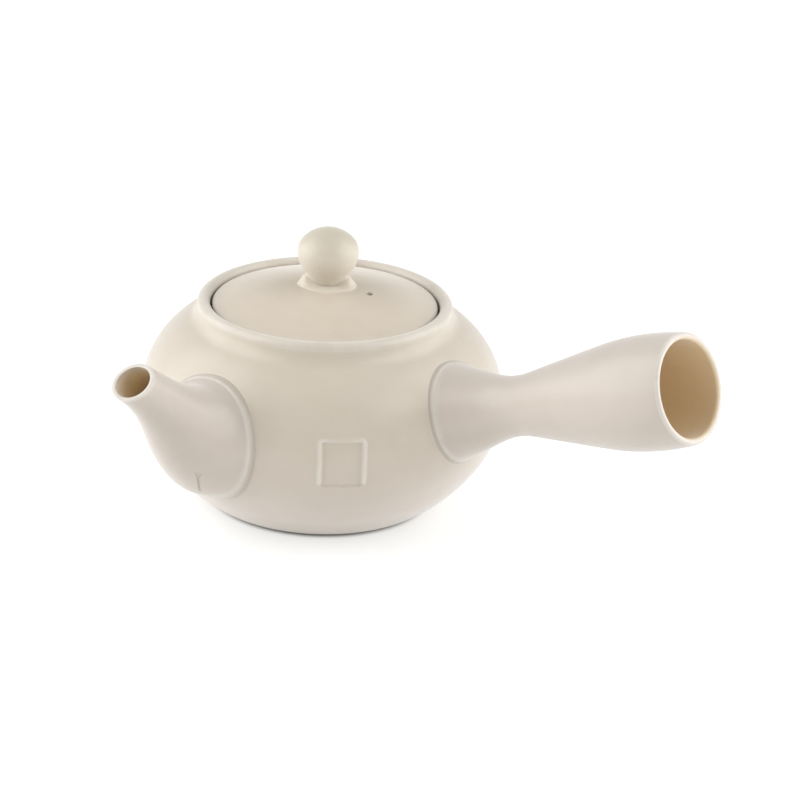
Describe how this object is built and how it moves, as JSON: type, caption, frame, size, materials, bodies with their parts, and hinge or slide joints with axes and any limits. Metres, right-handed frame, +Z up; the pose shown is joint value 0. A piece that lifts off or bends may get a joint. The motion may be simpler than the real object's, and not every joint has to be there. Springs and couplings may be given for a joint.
{
  "type": "kyusu teapot",
  "caption": "Unglazed clay teapot with a squat round body, short upturned spout with an inner strainer, hollow flared side handle and a loose domed lid with a ball knob.",
  "frame": {"origin": "on the axis of the round body, on the table under the flat foot", "axes": "+Z up along the axis of the body, +X out along the side handle seen from above, spout towards -Y"},
  "size_m": [0.1654, 0.1258, 0.0752],
  "materials": {
    "cream_clay": "matte unglazed, fine grained"
  },
  "bodies": {
    "pot": {"pot_body": "cream_clay", "spout": "cream_clay", "spout_strainer": "cream_clay", "side_handle": "cream_clay"},
    "lid": {"lid": "cream_clay", "lid_knob": "cream_clay"}
  },
  "joints": [
    {"name": "lid_lift", "type": "slide", "parent": "pot", "child": "lid", "axis": [0, 0, 1], "range_m": [0, 0.03]}
  ]
}
